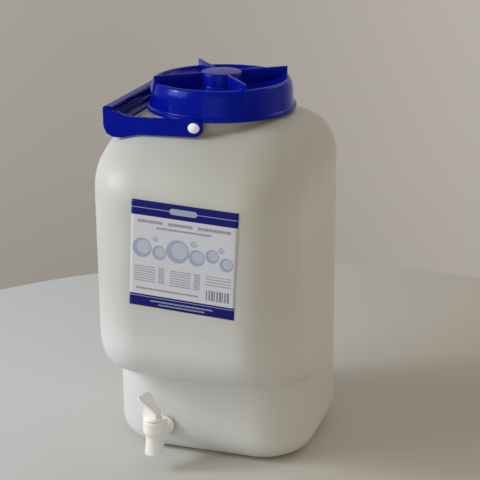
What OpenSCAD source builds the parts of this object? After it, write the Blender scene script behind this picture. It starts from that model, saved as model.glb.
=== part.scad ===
// Detergent dispenser bottle: square body with a set-back lower front, wide screw cap,
// carrying handle on two pins and a quarter-turn tap. Millimetres, +Z up.
// The origin is on the floor under the neck, the front and the tap face -Y.

/* [Body] */
// Outside width of the body
body_w = 248; // [240:1:256]
// Outside depth of the body
body_d = 272; // [266:1:280]
// How far the body is set forward of the neck
body_shift = 13; // [10:0.5:15]
// Height of the crown of the roof
body_h = 421.5; // [400:0.5:440]
// Radius of the four upright corners
corner_r = 66; // [60:1:74]
// Radius of the shoulder at the sides
shoulder_r = 70; // [64:1:72]
// Radius of the roof between front and back
crown_r = 200; // [196:1:206]
// Radius where the roof runs into the front and back
brow_r = 50; // [44:1:56]
// Radius of the bottom edge
base_r = 30; // [20:1:32]
// Thickness of the moulded wall
wall = 2.6; // [2:0.1:3.2]
// How far the lower front stands back
recess_depth = 62; // [54:1:66]
// Height of the underside of the overhang
recess_h = 110; // [100:1:116]
// Radius of the overhang
overhang_r = 58; // [50:1:60]
// Radius of the hollow corner under the overhang
hollow_r = 12; // [6:1:16]

/* [Neck] */
// Outside radius of the neck
neck_r = 78; // [76:0.5:79]
// Thickness of the neck
neck_wall = 3; // [2.5:0.1:3.5]
// Height of the neck above the shoulder
neck_h = 20.5; // [20:0.1:21.5]
// Rise of the thread in one turn
pitch = 6; // [5.6:0.1:6.4]
// Number of turns of each thread
thread_turns = 1.35; // [1.25:0.05:1.4]
// Height of the thread ridge
thread_depth = 2.4; // [2:0.1:2.5]
// Gap between thread crest and facing wall
thread_gap = 0.8; // [0.6:0.1:1]

/* [Cap] */
// Radius of the cap at its rim
cap_r = 83.6; // [83.4:0.1:85]
// Radius of the flange at the foot of the cap
flange_r = 88; // [86.5:0.1:88]
// Height of the flange
flange_h = 4; // [3:0.5:5]
// Height of the cap from flange to rim
cap_h = 34.4; // [33:0.2:37]
// Depth of the dished top at its middle
dish_depth = 9.4; // [8:0.2:10]
// Radius of the hub in the middle
hub_r = 25; // [20:1:30]
// Height of hub and wings above the rim
wing_rise = 7.5; // [5:0.5:9]
// Thickness of a wing
wing_t = 3; // [2.4:0.2:4]
// Turn of the wings from the X axis
wing_angle = 37.5; // [32:0.5:46]
// Thickness of the gasket under the cap
liner_t = 2; // [1.6:0.1:2.2]

/* [Handle] */
// Distance from the outside of the grip to the side wall, less the place of the pivots
handle_inset = 14; // [11:0.5:14]
// How far the corners of the arms hang below the grip
arm_drop = 5; // [3:0.5:6]
// Place of the pivots across the bottle
pivot_x = -2.2; // [-3:0.1:-1.6]
// Width of the grip channel
grip_t = 12; // [10:0.5:12]
// Thickness of handle arms and grip walls
arm_t = 4.2; // [3.6:0.1:4.6]
// Half height of an arm at its pivot
eye_r = 10.4; // [9.8:0.1:11.4]
// Height of the grip
grip_h = 30.8; // [26:0.2:33]
// Radius of a pivot pin
pin_r = 3.4; // [3:0.1:3.5]
// Radius of a pin head
pin_head_r = 6.8; // [6:0.1:7.5]

/* [Tap] */
// Sideways place of the tap
tap_x = -46; // [-48:1:0]
// Height of the tap
tap_z = 40; // [40:1:46]
// Distance from the wall to the middle of the spout
tap_reach = 45; // [40:1:52]
// Outside radius of the upright barrel
barrel_r = 11.8; // [10.4:0.1:12]
// Radius of the plug
plug_r = 7.2; // [7:0.1:7.4]
// Radius of the outlet bore
outlet_r = 5.6; // [5:0.1:5.8]
// Outside radius of the spout at its foot
spout_r = 9.8; // [9.6:0.1:10.4]
// Outside radius of the threaded stem
stem_r = 9.5; // [9.3:0.1:10]
// Length of the lever blade
lever_l = 29.5; // [26:0.5:33]
// Width of the lever at its tip
lever_w = 22; // [18:0.5:24]
// Turn of the closed lever from straight left
lever_turn = 14; // [0:1:20]
// Slope of the lever blade
lever_rise = 41; // [36:1:46]

/* [Label] */
// Width of the label
label_w = 125; // [110:0.5:130]
// Height of the label
label_h = 125.5; // [110:0.5:130]
// Thickness of the label
label_t = 0.3; // [0.2:0.05:0.5]
// Height of the middle of the label
label_z = 277; // [265:1:285]
// Sideways place of the label
label_x = 2.3; // [-4:0.1:4]
// Tilt of the label
label_tilt = 3.1; // [0:0.1:3.5]

/* [Show] */
// Piece to show

/* [Hidden] */

run = 0.06;            // running fit of plug and pins, on the radius
clear = 0.4;           // gap between moving pieces
seat = 0.1;            // gap where a piece rests on its seat
inner_pad = 1.5;       // height of the flat pad inside the wall at the tap

front_y = -body_shift - body_d / 2;
rear_y = front_y + body_d;
low_y = front_y + recess_depth;

neck_top = body_h + neck_h;
neck_low = body_h - 26;
liner_z = neck_top + seat;
seat_z = liner_z + liner_t + seat;     // underside of the cap over the gasket
rim_z = seat_z + 9;
flange_z = rim_z - cap_h;
cap_in = neck_r + thread_depth + thread_gap;
thread_low = flange_z + 7.6;

pivot_z = flange_z - 5.2;
handle_reach = max(body_w / 2 - handle_inset, flange_r + grip_t + 2.5);   // pivot to grip
lug_face = flange_r + 0.4;
arm_in = lug_face + clear;
arm_out = arm_in + arm_t;
grip_low = pivot_z - 12.2;
grip_top = grip_low - pivot_z + grip_h;   // above the pivot

bore_r = plug_r + run;
spout_y = low_y - tap_reach;
barrel_top = tap_z + 26;
barrel_low = tap_z - 11.4;
spout_low = tap_z - 17;
key_z = barrel_top + clear;
nut_flange_r = 1.74 * stem_r;
collar_r = 1.16 * stem_r;
web_t = 2 * spout_r - 1.4;
web_back = tap_reach * 0.55;

/* ---------- shared shapes ---------- */

// Half width of the body at height z, made smaller all round by "t"
function side_x(z, t) =
  z > body_h - shoulder_r ? body_w / 2 - shoulder_r + arc(shoulder_r - t, z - body_h + shoulder_r)
  : z < base_r ? body_w / 2 - base_r + arc(base_r - t, base_r - z)
  : body_w / 2 - t;

// Distance from the neck axis to the upper face that stands "f" away
function face_y(z, f, t) =
  let (r = crown_r, e = brow_r,
       zb = body_h - r + arc(r - e, f - e),
       zt = body_h - r + (r - t) * (zb - body_h + r) / (r - e))
  z > zt ? arc(r - t, z - body_h + r)
  : z > zb ? f - e + arc(e - t, z - zb)
  : z < base_r ? f - base_r + arc(base_r - t, base_r - z)
  : f - t;

// The same for the front, with its overhang and set-back lower part
function front_dist(z, t) =
  let (f = -front_y, g = f - recess_depth, u = overhang_r, v = hollow_r,
       zo = recess_h + u, lean = u + v - recess_depth,
       zv = zo - arc(u + v, lean), zm = zo - (u - t) * (zo - zv) / (u + v))
  z > zo ? face_y(z, f, t)
  : z > zm ? f - u + arc(u - t, zo - z)
  : z > zv ? g + v - arc(v + t, z - zv)
  : z < base_r ? g - base_r + arc(base_r - t, base_r - z)
  : g - t;

function arc(r, d) = sqrt(max(0, r * r - d * d));

// Plan of the body at height z: four quarter rounds of "n" steps
function plan(z, t, n) =
  let (x = side_x(z, t), c = corner_r - body_w / 2 + x)
  [for (q = [[1, -1], [1, 1], [-1, 1], [-1, -1]])
    let (y = q[1] > 0 ? face_y(z, rear_y, t) : front_dist(z, t), r = max(2, min(c, y - 1)), up = q[0] * q[1] > 0)
      for (k = [0:n])
        let (a = 90 * (up ? k : n - k) / n)
          [q[0] * (x - r + r * cos(a)), q[1] * (y - r + r * sin(a)), z]];

// Heights of the rings that make up the body
function levels(t) =
  let (e = base_r - t, u = overhang_r, v = hollow_r, zo = recess_h + u,
       zv = zo - arc(u + v, u + v - recess_depth),
       zm = zo - (u - t) * (zo - zv) / (u + v),
       top = body_h - t, drop = top - (zo + 20))
  concat([for (k = [0:6]) base_r - e * cos(15 * k)],
         [(base_r + zv) / 2, zv],
         [for (k = [1:4]) zv + (zm - zv) * sin(22.5 * k)],
         [for (k = [1:8]) zo - (zo - zm) * cos(11.25 * k)],
         [for (k = [16:-1:1]) top - drop * pow(k / 16, 2)]);

// Closed skin of the body, made smaller all round by "t"
module body_form(t, n = 10) {
  z = levels(t);
  m = 4 * (n + 1);
  skin = [for (i = [0:len(z) - 2], k = [0:m - 1])
    let (a = i * m + k, b = i * m + (k + 1) % m, c = b + m, d = a + m)
      each [[a, c, b], [a, d, c]]];
  polyhedron(points = [for (h = z) each plan(h, t, n)], convexity = 6,
    faces = concat(skin, [[for (k = [0:m - 1]) k]], [[for (k = [m - 1:-1:0]) (len(z) - 1) * m + k]]));
}

// One screw ridge: root radius "r", height "d" outward (negative inward), faded at both ends
module ridge(r, d, z, turns) {
  n = 60;
  steps = floor(n * turns);
  half_root = 1.6;
  half_crest = 0.8;
  pts = [for (i = [0:steps])
    let (a = 360 * i / n,
         f = min(1, min(i, steps - i) / 5 + 0.06),
         zc = z + pitch * i / n,
         lap = d > 0 ? -0.6 : 0.6)
    for (q = [[r + lap, -half_root], [r + d * f, -half_crest], [r + d * f, half_crest], [r + lap, half_root]])
      [q[0] * cos(a), q[0] * sin(a), zc + q[1]]];
  side = [for (i = [0:steps - 1], k = [0:3])
    let (a = 4 * i + k, b = 4 * i + (k + 1) % 4)
      d > 0 ? [b, b + 4, a + 4, a] : [a, a + 4, b + 4, b]];
  ends = d > 0 ? [[3, 2, 1, 0], [4 * steps, 4 * steps + 1, 4 * steps + 2, 4 * steps + 3]]
               : [[0, 1, 2, 3], [4 * steps + 3, 4 * steps + 2, 4 * steps + 1, 4 * steps]];
  polyhedron(points = pts, faces = concat(side, ends), convexity = 6);
}

// Flat ring
module ring(ro, ri, h) {
  difference() {
    cylinder(r = ro, h = h, $fn = 96);
    translate([0, 0, -1]) cylinder(r = ri, h = h + 2, $fn = 96);
  }
}

/* ---------- bottle ---------- */

module tank() color([0.86, 0.87, 0.82]) difference() {
  union() {
    difference() {
      union() {
        body_form(0);
        // neck with a rounded mouth
        rotate_extrude($fn = 120)
          polygon([[neck_r - 12, neck_low], [neck_r, neck_low], [neck_r, neck_top - 0.8],
                   [neck_r - 0.8, neck_top], [neck_r - neck_wall + 0.8, neck_top],
                   [neck_r - neck_wall, neck_top - 0.8], [neck_r - 12, neck_top - 3]]);
        ridge(neck_r, thread_depth, thread_low + pitch / 2, thread_turns);
        // lugs that carry the handle pins
        for (s = [-1, 1])
          translate([pivot_x - 6.5, s > 0 ? neck_r - 2 : -lug_face, pivot_z - 8.4])
            cube([13, lug_face - neck_r + 2, 13]);
      }
      body_form(wall, 7);
    }
    // pads for the tap, outside and inside
    translate([tap_x, low_y + wall + inner_pad, tap_z]) rotate([90, 0, 0])
      {
        cylinder(r = nut_flange_r + 0.5, h = wall + inner_pad - 1, $fn = 64);
        cylinder(r = collar_r + 2, h = wall + inner_pad + 1, $fn = 64);
      }
  }
  // mouth
  translate([0, 0, body_h - 60]) cylinder(r = neck_r - neck_wall, h = 90, $fn = 120);
  // pin holes
  for (s = [-1, 1])
    translate([pivot_x, s * (neck_r - 0.5), pivot_z]) rotate([-s * 90, 0, 0])
      cylinder(r = pin_r, h = 20, $fn = 48);
  // hole for the stem of the tap
  translate([tap_x, low_y - 8, tap_z]) rotate([-90, 0, 0])
    cylinder(r = stem_r + 0.5, h = 24, $fn = 64);
}

module label() color([0.93, 0.94, 0.96])
  translate([label_x, front_y - label_t - 0.02, label_z]) rotate([0, label_tilt, 0])
    translate([-label_w / 2, 0, -label_h / 2]) cube([label_w, label_t, label_h]);

/* ---------- cap ---------- */

module cap() color([0.02, 0.06, 0.55]) {
  difference() {
    union() {
      rotate_extrude($fn = 144)
        polygon(concat(
          [[0, rim_z - dish_depth], [30, rim_z - dish_depth], [47, rim_z - dish_depth * 0.93],
           [58, rim_z - dish_depth * 0.83], [65, rim_z - dish_depth * 0.71], [70.5, rim_z - dish_depth * 0.56],
           [cap_r - 9.4, rim_z - dish_depth * 0.4], [cap_r - 8.2, rim_z - 2.9]],
          [for (a = [150:-20:-10]) [cap_r - 4 + 4 * cos(a), rim_z - 4 + 4 * sin(a)]],
          [[cap_r + 0.7, flange_z + flange_h + 1.2], [cap_r + 1.6, flange_z + flange_h + 0.2],
           [flange_r - 0.6, flange_z + flange_h], [flange_r, flange_z + flange_h - 0.6],
           [flange_r, flange_z], [cap_in + 0.6, flange_z], [cap_in, flange_z + 0.8],
           [cap_in, seat_z], [66, seat_z], [60, rim_z - dish_depth * 0.8 - 2.4],
           [47, rim_z - dish_depth * 0.93 - 2.4], [30, rim_z - dish_depth - 2.4],
           [0, rim_z - dish_depth - 2.4]]));
      ridge(cap_in, -thread_depth, thread_low, thread_turns);
      // hub
      translate([0, 0, rim_z - dish_depth - 0.5]) {
        cylinder(r = hub_r, h = dish_depth + wing_rise - 0.3, $fn = 96);
        cylinder(r = hub_r - 0.8, h = dish_depth + wing_rise + 0.5, $fn = 96);
      }
      // wings, each carried on down the skirt as a rib
      for (k = [0:3]) rotate([0, 0, wing_angle + 90 * k]) {
        rotate([90, 0, 0]) linear_extrude(wing_t, center = true)
          polygon([[hub_r - 1.5, rim_z - dish_depth - 0.8], [40, rim_z - dish_depth - 0.4],
                   [58, rim_z - dish_depth * 0.83 - 1], [68, rim_z - dish_depth * 0.6 - 1],
                   [cap_r - 5, rim_z - 5], [cap_r + 0.8, rim_z - 5],
                   [cap_r + 0.8, rim_z + wing_rise], [hub_r - 1.5, rim_z + wing_rise]]);
        translate([cap_r - 2, -wing_t / 2, flange_z + 1.5]) cube([3, wing_t, cap_h - 5]);
      }
    }
    // hollow of the hub, open below
    translate([0, 0, rim_z - dish_depth - 6]) cylinder(r = hub_r - 2.6, h = dish_depth + wing_rise + 3.6, $fn = 96);
  }
}

module cap_liner() color([0.85, 0.85, 0.82])
  translate([0, 0, liner_z]) ring(cap_in - 0.5, neck_r - 8, liner_t);

/* ---------- handle ---------- */

// Side view of a handle arm, drawn in X and Z about the pivot
module arm_outline() {
  under = grip_low - pivot_z;
  low = under - arm_drop;
  fall = body_w / 2 - shoulder_r;   // where the shoulder starts to fall away
  top = grip_top;
  turn = arm_drop + 10;
  difference() {
    union() {
      circle(r = eye_r, $fn = 64);
      polygon([[0, -eye_r], [0, eye_r], [-0.4 * handle_reach, eye_r - 2.4],
               [-0.7 * handle_reach, eye_r - 2.2], [-0.86 * handle_reach, eye_r + 0.6],
               [-handle_reach + 8, top - 2.4], [-handle_reach + 3, top],
               [-handle_reach, top - 3], [-handle_reach, low + turn], [-handle_reach + turn / 4, low + turn / 4],
               [-handle_reach + turn, low], [-fall - 33, low + 0.3], [-fall - 13, under - 0.2],
               [-0.45 * handle_reach, under + 0.4]]);
      translate([-handle_reach + turn, low + turn]) circle(r = turn, $fn = 64);
      translate([-handle_reach + 3, top - 3]) circle(r = 3, $fn = 32);
    }
    circle(r = pin_r + run, $fn = 48);
  }
}

module handle() color([0.03, 0.10, 0.60]) {
  translate([pivot_x, 0, pivot_z]) {
    for (s = [0, 1]) mirror([0, s, 0])
      translate([0, arm_out, 0]) rotate([90, 0, 0]) linear_extrude(arm_t) arm_outline();
    // grip: a channel, open towards the cap
    rotate([90, 0, 0]) linear_extrude(2 * arm_out - 2, center = true) grip_section();
  }
}

// Section of the grip, drawn in X and Z about the pivot
module grip_section() {
  low = grip_low - pivot_z;
  w = arm_t - 0.8;
  translate([-handle_reach, low + 12]) square([w, grip_h - 15]);
  translate([-handle_reach + 3, grip_top - w]) square([grip_t - 4.2, w]);
  translate([-handle_reach + grip_t - w / 2, grip_top - w / 2]) circle(r = w / 2, $fn = 32);
  intersection() {
    difference() {
      union() {
        translate([-handle_reach + 12, low + 12]) circle(r = 12, $fn = 64);
        translate([-handle_reach + 3.6, grip_top - 3.6]) circle(r = 3.6, $fn = 32);
      }
      translate([-handle_reach + 12, low + 12]) circle(r = 12 - w, $fn = 64);
    }
    translate([-handle_reach - 1, low - 1]) square([8, grip_h + 2]);
  }
}

// Domed pin with an oval head, drawn for the front and centred on its own axis
module handle_pin() color([0.93, 0.93, 0.90])
  rotate([90, 0, 0]) {
    translate([0, 0, neck_r + 1]) cylinder(r = pin_r, h = arm_out - neck_r, $fn = 48);
    translate([0, 0, arm_out + clear]) scale([1, 0.86, 1]) {
      cylinder(r = pin_head_r, h = 1, $fn = 64);
      translate([0, 0, 0.9]) intersection() {
        translate([0, 0, -6.4]) sphere(r = 9.3, $fn = 96);
        cylinder(r = pin_head_r, h = 4, $fn = 64);
      }
    }
  }

module handle_pin_front() translate([pivot_x, 0, pivot_z]) handle_pin();
module handle_pin_rear() translate([pivot_x, 0, pivot_z]) rotate([0, 0, 180]) handle_pin();

/* ---------- tap ---------- */

module tap_body() color([0.93, 0.93, 0.91])
  translate([tap_x, spout_y, 0]) {
    difference() {
      union() {
        // barrel and spout turned in one piece
        rotate_extrude($fn = 96)
          polygon([[0, spout_low], [spout_r + 0.7, spout_low], [spout_r + 0.8, spout_low + 1.2], [spout_r - 0.8, tap_z - 1],
                   [spout_r - 0.8, tap_z + 6], [barrel_r - 0.6, tap_z + 10.5], [barrel_r, tap_z + 12.5],
                   [barrel_r, barrel_top - 1], [barrel_r - 1, barrel_top], [0, barrel_top]]);
        // web between spout and stem
        rotate([90, 0, 90]) linear_extrude(web_t, center = true)
          polygon([[0, barrel_top - 1.5], [web_back, barrel_top - 8], [web_back, tap_z - 1],
                   [3, spout_low + 1], [0, spout_low + 1]]);
        // stem through the wall, with collar and flats
        translate([0, 0, tap_z]) rotate([-90, 0, 0]) {
          cylinder(r = 7.6, h = tap_reach, $fn = 64);
          translate([0, 0, tap_reach - 6.1]) cylinder(r = collar_r, h = 3, $fn = 96);
          translate([0, 0, tap_reach - 9.1]) cylinder(r = 9.6, h = 4, $fn = 64);
          translate([0, 0, tap_reach - 4]) cylinder(r = stem_r - 0.9, h = 27, $fn = 64);
          for (k = [0:7]) translate([0, 0, tap_reach + 4.6 + 2 * k]) stem_thread();
        }
      }
      // plug bore, outlet and inlet
      translate([0, 0, barrel_low + 1.9]) cylinder(r = bore_r, h = 40, $fn = 96);
      translate([0, 0, spout_low - 1]) cylinder(r = outlet_r, h = 14, $fn = 64);
      translate([0, 0, tap_z]) rotate([-90, 0, 0]) cylinder(r = 5, h = tap_reach + 40, $fn = 48);
      // clearance for the clip that keeps the plug in
      translate([0, 0, barrel_top - 3.4]) cylinder(r = bore_r + 1, h = 1.4, $fn = 96);
    }
  }

// One turned ridge of the stem
module stem_thread()
  rotate_extrude($fn = 64)
    polygon([[stem_r - 1.6, -0.8], [stem_r - 0.9, -0.8], [stem_r, -0.15], [stem_r, 0.15],
             [stem_r - 0.9, 0.8], [stem_r - 1.6, 0.8]]);

module outer_washer() color([0.15, 0.15, 0.15])
  translate([tap_x, low_y - 1, tap_z]) rotate([90, 0, 0]) ring(collar_r + 0.6, stem_r + 0.1, 2);

module inner_washer() color([0.15, 0.15, 0.15])
  translate([tap_x, low_y + wall + inner_pad + 2.1, tap_z]) rotate([90, 0, 0]) ring(nut_flange_r - 2.5, stem_r + 0.1, 2);

module tap_nut() color([0.93, 0.93, 0.91])
  translate([tap_x, low_y + wall + inner_pad + 2.2, tap_z]) rotate([-90, 0, 0]) difference() {
    union() {
      cylinder(r = nut_flange_r, h = 2, $fn = 96);
      cylinder(r = nut_flange_r - 1.5, h = 0.95 * stem_r, $fn = 6);
    }
    translate([0, 0, -1]) cylinder(r = stem_r + 0.1, h = 12, $fn = 64);
  }

module tap_key() color([0.94, 0.94, 0.92])
  translate([tap_x, spout_y, 0]) {
    difference() {
      union() {
        // hollow plug with two grooves for the rings
        rotate_extrude($fn = 96)
          polygon([[0, barrel_low + 2.4], [plug_r - 0.5, barrel_low + 2.4], [plug_r, barrel_low + 3],
                   [plug_r, tap_z - 7.6], [plug_r - 1.4, tap_z - 7.6], [plug_r - 1.4, tap_z - 6],
                   [plug_r, tap_z - 6], [plug_r, tap_z + 6], [plug_r - 1.4, tap_z + 6],
                   [plug_r - 1.4, tap_z + 7.6], [plug_r, tap_z + 7.6], [plug_r, barrel_top - 3.3],
                   [plug_r - 1, barrel_top - 3.3], [plug_r - 1, barrel_top - 2.1],
                   [plug_r, barrel_top - 2.1], [plug_r, key_z],
                   [barrel_r - 1.2, key_z], [barrel_r - 0.4, key_z + 0.8], [barrel_r - 0.4, key_z + 2.4],
                   [barrel_r - 2, key_z + 4.2], [0, key_z + 4.6]]);
        // web and blade of the lever, pointing left
        rotate([0, 0, 180 - lever_turn]) lever();
      }
      // outlet way through the plug and its side window
      translate([0, 0, barrel_low]) cylinder(r = 5, h = tap_z + 4 - barrel_low, $fn = 48);
      rotate([0, 0, -lever_turn]) translate([0, 0, tap_z]) rotate([0, 90, 0]) cylinder(r = 4.4, h = 12, $fn = 48);
    }
  }

// Lever drawn along +X from the plug axis: a flat blade that rises from the far side of
// the head, on a web
module lever() {
  u = [cos(lever_rise), sin(lever_rise)];
  n = [-u[1], u[0]];
  root = [-7.4, key_z + 8];
  rotate([90, 0, 0]) linear_extrude(11, center = true)
    polygon([[-6.5, key_z + 1], [8.6, key_z + 1], [10.4, key_z + 2.8], [10.6, key_z + 9],
             root + 0.64 * lever_l * u, root + 0.6 * lever_l * u + 2 * n, root + 2 * n, [-7.4, key_z + 2]]);
  translate([root[0], 0, root[1]]) rotate([0, -lever_rise, 0]) linear_extrude(3)
    polygon([for (s = [1, -1]) each
      let (half = [[0, 5.6], [0.3, 6.8], [0.66, lever_w / 2 - 1.6], [0.84, lever_w / 2],
                   [0.96, lever_w / 2 - 0.6], [1, lever_w / 2 - 2]])
        [for (k = [0:5]) let (p = half[s > 0 ? k : 5 - k]) [lever_l * p[0], -s * p[1]]]]);
}

// Sealing ring that lies in a groove of the plug
module plug_ring(z) color([0.12, 0.12, 0.12])
  translate([tap_x, spout_y, z])
    rotate_extrude($fn = 96) translate([plug_r - 0.7, 0]) circle(r = 0.68, $fn = 32);

module plug_ring_upper() plug_ring(tap_z + 6.8);
module plug_ring_lower() plug_ring(tap_z - 6.8);

// Split ring that snaps between plug and barrel
module key_clip() color([0.9, 0.9, 0.88])
  translate([tap_x, spout_y, barrel_top - 3.2]) difference() {
    ring(bore_r + 0.7, plug_r - 0.95, 1);
    rotate([0, 0, 200]) translate([4, -1.5, -1]) cube([8, 3, 4]);
  }

tank();
label();
cap();
cap_liner();
handle();
handle_pin_front();
handle_pin_rear();
tap_body();
outer_washer();
inner_washer();
tap_nut();
tap_key();
plug_ring_upper();
plug_ring_lower();
key_clip();
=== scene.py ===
"""Looks of a detergent dispenser bottle: translucent body, winged screw cap, handle and tap."""

from __future__ import annotations

import logging
import math
from dataclasses import dataclass, field
from enum import Enum
from typing import Iterable, Sequence
import bmesh
import bpy
from mathutils import Matrix, Vector


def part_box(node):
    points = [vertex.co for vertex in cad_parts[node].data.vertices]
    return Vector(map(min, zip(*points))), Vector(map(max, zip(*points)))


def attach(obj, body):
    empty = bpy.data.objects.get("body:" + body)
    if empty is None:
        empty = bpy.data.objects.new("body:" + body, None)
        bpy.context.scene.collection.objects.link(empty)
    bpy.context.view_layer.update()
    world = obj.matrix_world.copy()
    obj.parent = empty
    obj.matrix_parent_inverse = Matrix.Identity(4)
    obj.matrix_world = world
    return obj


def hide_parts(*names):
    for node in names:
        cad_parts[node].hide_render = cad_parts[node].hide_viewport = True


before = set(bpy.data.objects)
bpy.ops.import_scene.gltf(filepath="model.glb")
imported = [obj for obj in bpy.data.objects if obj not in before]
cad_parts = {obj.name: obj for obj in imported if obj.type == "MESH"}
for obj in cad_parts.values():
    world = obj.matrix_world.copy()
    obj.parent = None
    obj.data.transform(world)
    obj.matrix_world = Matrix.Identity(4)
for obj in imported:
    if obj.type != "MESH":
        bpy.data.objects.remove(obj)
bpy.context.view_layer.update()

MM = 0.001
IMAGE_SIDE = 480
SHARP_EDGE = 32.0
FLAT_EDGE = 0.6
LOG = logging.getLogger("bottle")

Colour = tuple[float, float, float]
Point = tuple[float, float]


def cad_box_mm(node: str) -> tuple[Vector, Vector]:
    """Gives the lowest and highest corner of a CAD node.

    Args:
        node: Name of the CAD node.

    Returns:
        The two corners in millimetres.
    """
    low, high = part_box(node)
    return Vector(low) / MM, Vector(high) / MM


class Body(Enum):
    """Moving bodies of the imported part."""

    BOTTLE = "bottle"
    GASKET = "gasket"
    CAP = "screw_cap"
    HANDLE = "bail"
    KEY = "key"


class Slot(Enum):
    """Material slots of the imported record."""

    BODY = "body_plastic"
    BLUE = "blue_plastic"
    WHITE = "white_plastic"
    LABEL = "label_film"
    FOAM = "gasket_foam"
    RUBBER = "seal_rubber"


# ---------------------------------------------------------------- materials


class Graph:
    """A material's node tree, with short calls for the nodes that the finishes use."""

    def __init__(self, name: str) -> None:
        """Starts an empty tree with a shader and an output.

        Args:
            name: Name of the material.
        """
        self.material = bpy.data.materials.new(name)
        self.material.use_nodes = True
        self.tree = self.material.node_tree
        self.tree.nodes.clear()
        self.shader = self.tree.nodes.new("ShaderNodeBsdfPrincipled")
        self.output = self.tree.nodes.new("ShaderNodeOutputMaterial")
        self.link(self.shader.outputs[0], self.output.inputs["Surface"])

    def set(self, **values: float | Sequence[float]) -> None:
        """Sets sockets of the shader by name, with _ for a space.

        Args:
            **values: Socket names and their values.
        """
        for key, value in values.items():
            self.shader.inputs[key.replace("_", " ")].default_value = value

    def link(self, source: bpy.types.NodeSocket, target: bpy.types.NodeSocket) -> None:
        """Joins two sockets.

        Args:
            source: Output socket.
            target: Input socket.
        """
        self.tree.links.new(source, target)

    def position(self, scale: Sequence[float] = (1, 1, 1)) -> bpy.types.NodeSocket:
        """Gives object coordinates, scaled.

        Args:
            scale: Scale along each axis.

        Returns:
            The vector socket.
        """
        place = self.tree.nodes.new("ShaderNodeTexCoord")
        mapping = self.tree.nodes.new("ShaderNodeMapping")
        mapping.inputs["Scale"].default_value = scale
        self.link(place.outputs["Object"], mapping.inputs["Vector"])
        return mapping.outputs[0]

    def axes(self, vector: bpy.types.NodeSocket) -> list[bpy.types.NodeSocket]:
        """Splits a vector.

        Args:
            vector: Vector socket.

        Returns:
            Its X, Y and Z sockets.
        """
        node = self.tree.nodes.new("ShaderNodeSeparateXYZ")
        self.link(vector, node.inputs[0])
        return list(node.outputs)

    def noise(
        self, vector: bpy.types.NodeSocket, scale: float, detail: float = 3.0
    ) -> bpy.types.NodeSocket:
        """Adds a noise texture.

        Args:
            vector: Where the noise is read.
            scale: Repeats in a metre.
            detail: Octaves.

        Returns:
            The noise value, 0 to 1.
        """
        node = self.tree.nodes.new("ShaderNodeTexNoise")
        node.inputs["Scale"].default_value = scale
        node.inputs["Detail"].default_value = detail
        self.link(vector, node.inputs["Vector"])
        return node.outputs[0]

    def math(
        self,
        kind: str,
        first: bpy.types.NodeSocket | float,
        second: bpy.types.NodeSocket | float = 0.0,
    ) -> bpy.types.NodeSocket:
        """Adds a maths node.

        Args:
            kind: Operation, such as MULTIPLY.
            first: First operand.
            second: Second operand.

        Returns:
            The result socket.
        """
        node = self.tree.nodes.new("ShaderNodeMath")
        node.operation = kind
        for socket, value in zip(node.inputs, (first, second)):
            if isinstance(value, (int, float)):
                socket.default_value = value
            else:
                self.link(value, socket)
        return node.outputs[0]

    def remap(
        self,
        value: bpy.types.NodeSocket,
        source: tuple[float, float],
        target: tuple[float, float] = (0.0, 1.0),
        smooth: bool = False,
    ) -> bpy.types.NodeSocket:
        """Maps a range of values on another one, clamped.

        Args:
            value: Value to map.
            source: Range it has.
            target: Range it gets.
            smooth: Whether the ends are eased.

        Returns:
            The mapped value.
        """
        node = self.tree.nodes.new("ShaderNodeMapRange")
        node.interpolation_type = "SMOOTHSTEP" if smooth else "LINEAR"
        node.inputs["From Min"].default_value = source[0]
        node.inputs["From Max"].default_value = source[1]
        node.inputs["To Min"].default_value = target[0]
        node.inputs["To Max"].default_value = target[1]
        self.link(value, node.inputs["Value"])
        return node.outputs[0]

    def mix(
        self,
        share: bpy.types.NodeSocket,
        first: bpy.types.NodeSocket | Colour,
        second: bpy.types.NodeSocket | Colour,
    ) -> bpy.types.NodeSocket:
        """Mixes two colours.

        Args:
            share: How much of the second one shows.
            first: First colour or socket.
            second: Second colour or socket.

        Returns:
            The mixed colour.
        """
        node = self.tree.nodes.new("ShaderNodeMix")
        node.data_type = "RGBA"
        self.link(share, node.inputs["Factor"])
        for socket, value in ((node.inputs[6], first), (node.inputs[7], second)):
            if isinstance(value, tuple):
                socket.default_value = (*value, 1.0)
            else:
                self.link(value, socket)
        return node.outputs[2]

    def bump(self, height: bpy.types.NodeSocket, depth: float) -> None:
        """Lets a height wrinkle the surface.

        Args:
            height: Height value, 0 to 1.
            depth: Height of 1 in metres.
        """
        node = self.tree.nodes.new("ShaderNodeBump")
        node.inputs["Distance"].default_value = depth
        node.inputs["Strength"].default_value = 1.0
        self.link(height, node.inputs["Height"])
        self.link(node.outputs[0], self.shader.inputs["Normal"])

    def clear_from_behind(self) -> None:
        """Lets the surface be seen through from its back."""
        facing = self.tree.nodes.new("ShaderNodeNewGeometry")
        clear = self.tree.nodes.new("ShaderNodeBsdfTransparent")
        share = self.tree.nodes.new("ShaderNodeMixShader")
        self.link(facing.outputs["Backfacing"], share.inputs[0])
        self.link(self.shader.outputs[0], share.inputs[1])
        self.link(clear.outputs[0], share.inputs[2])
        self.link(share.outputs[0], self.output.inputs["Surface"])


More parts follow.
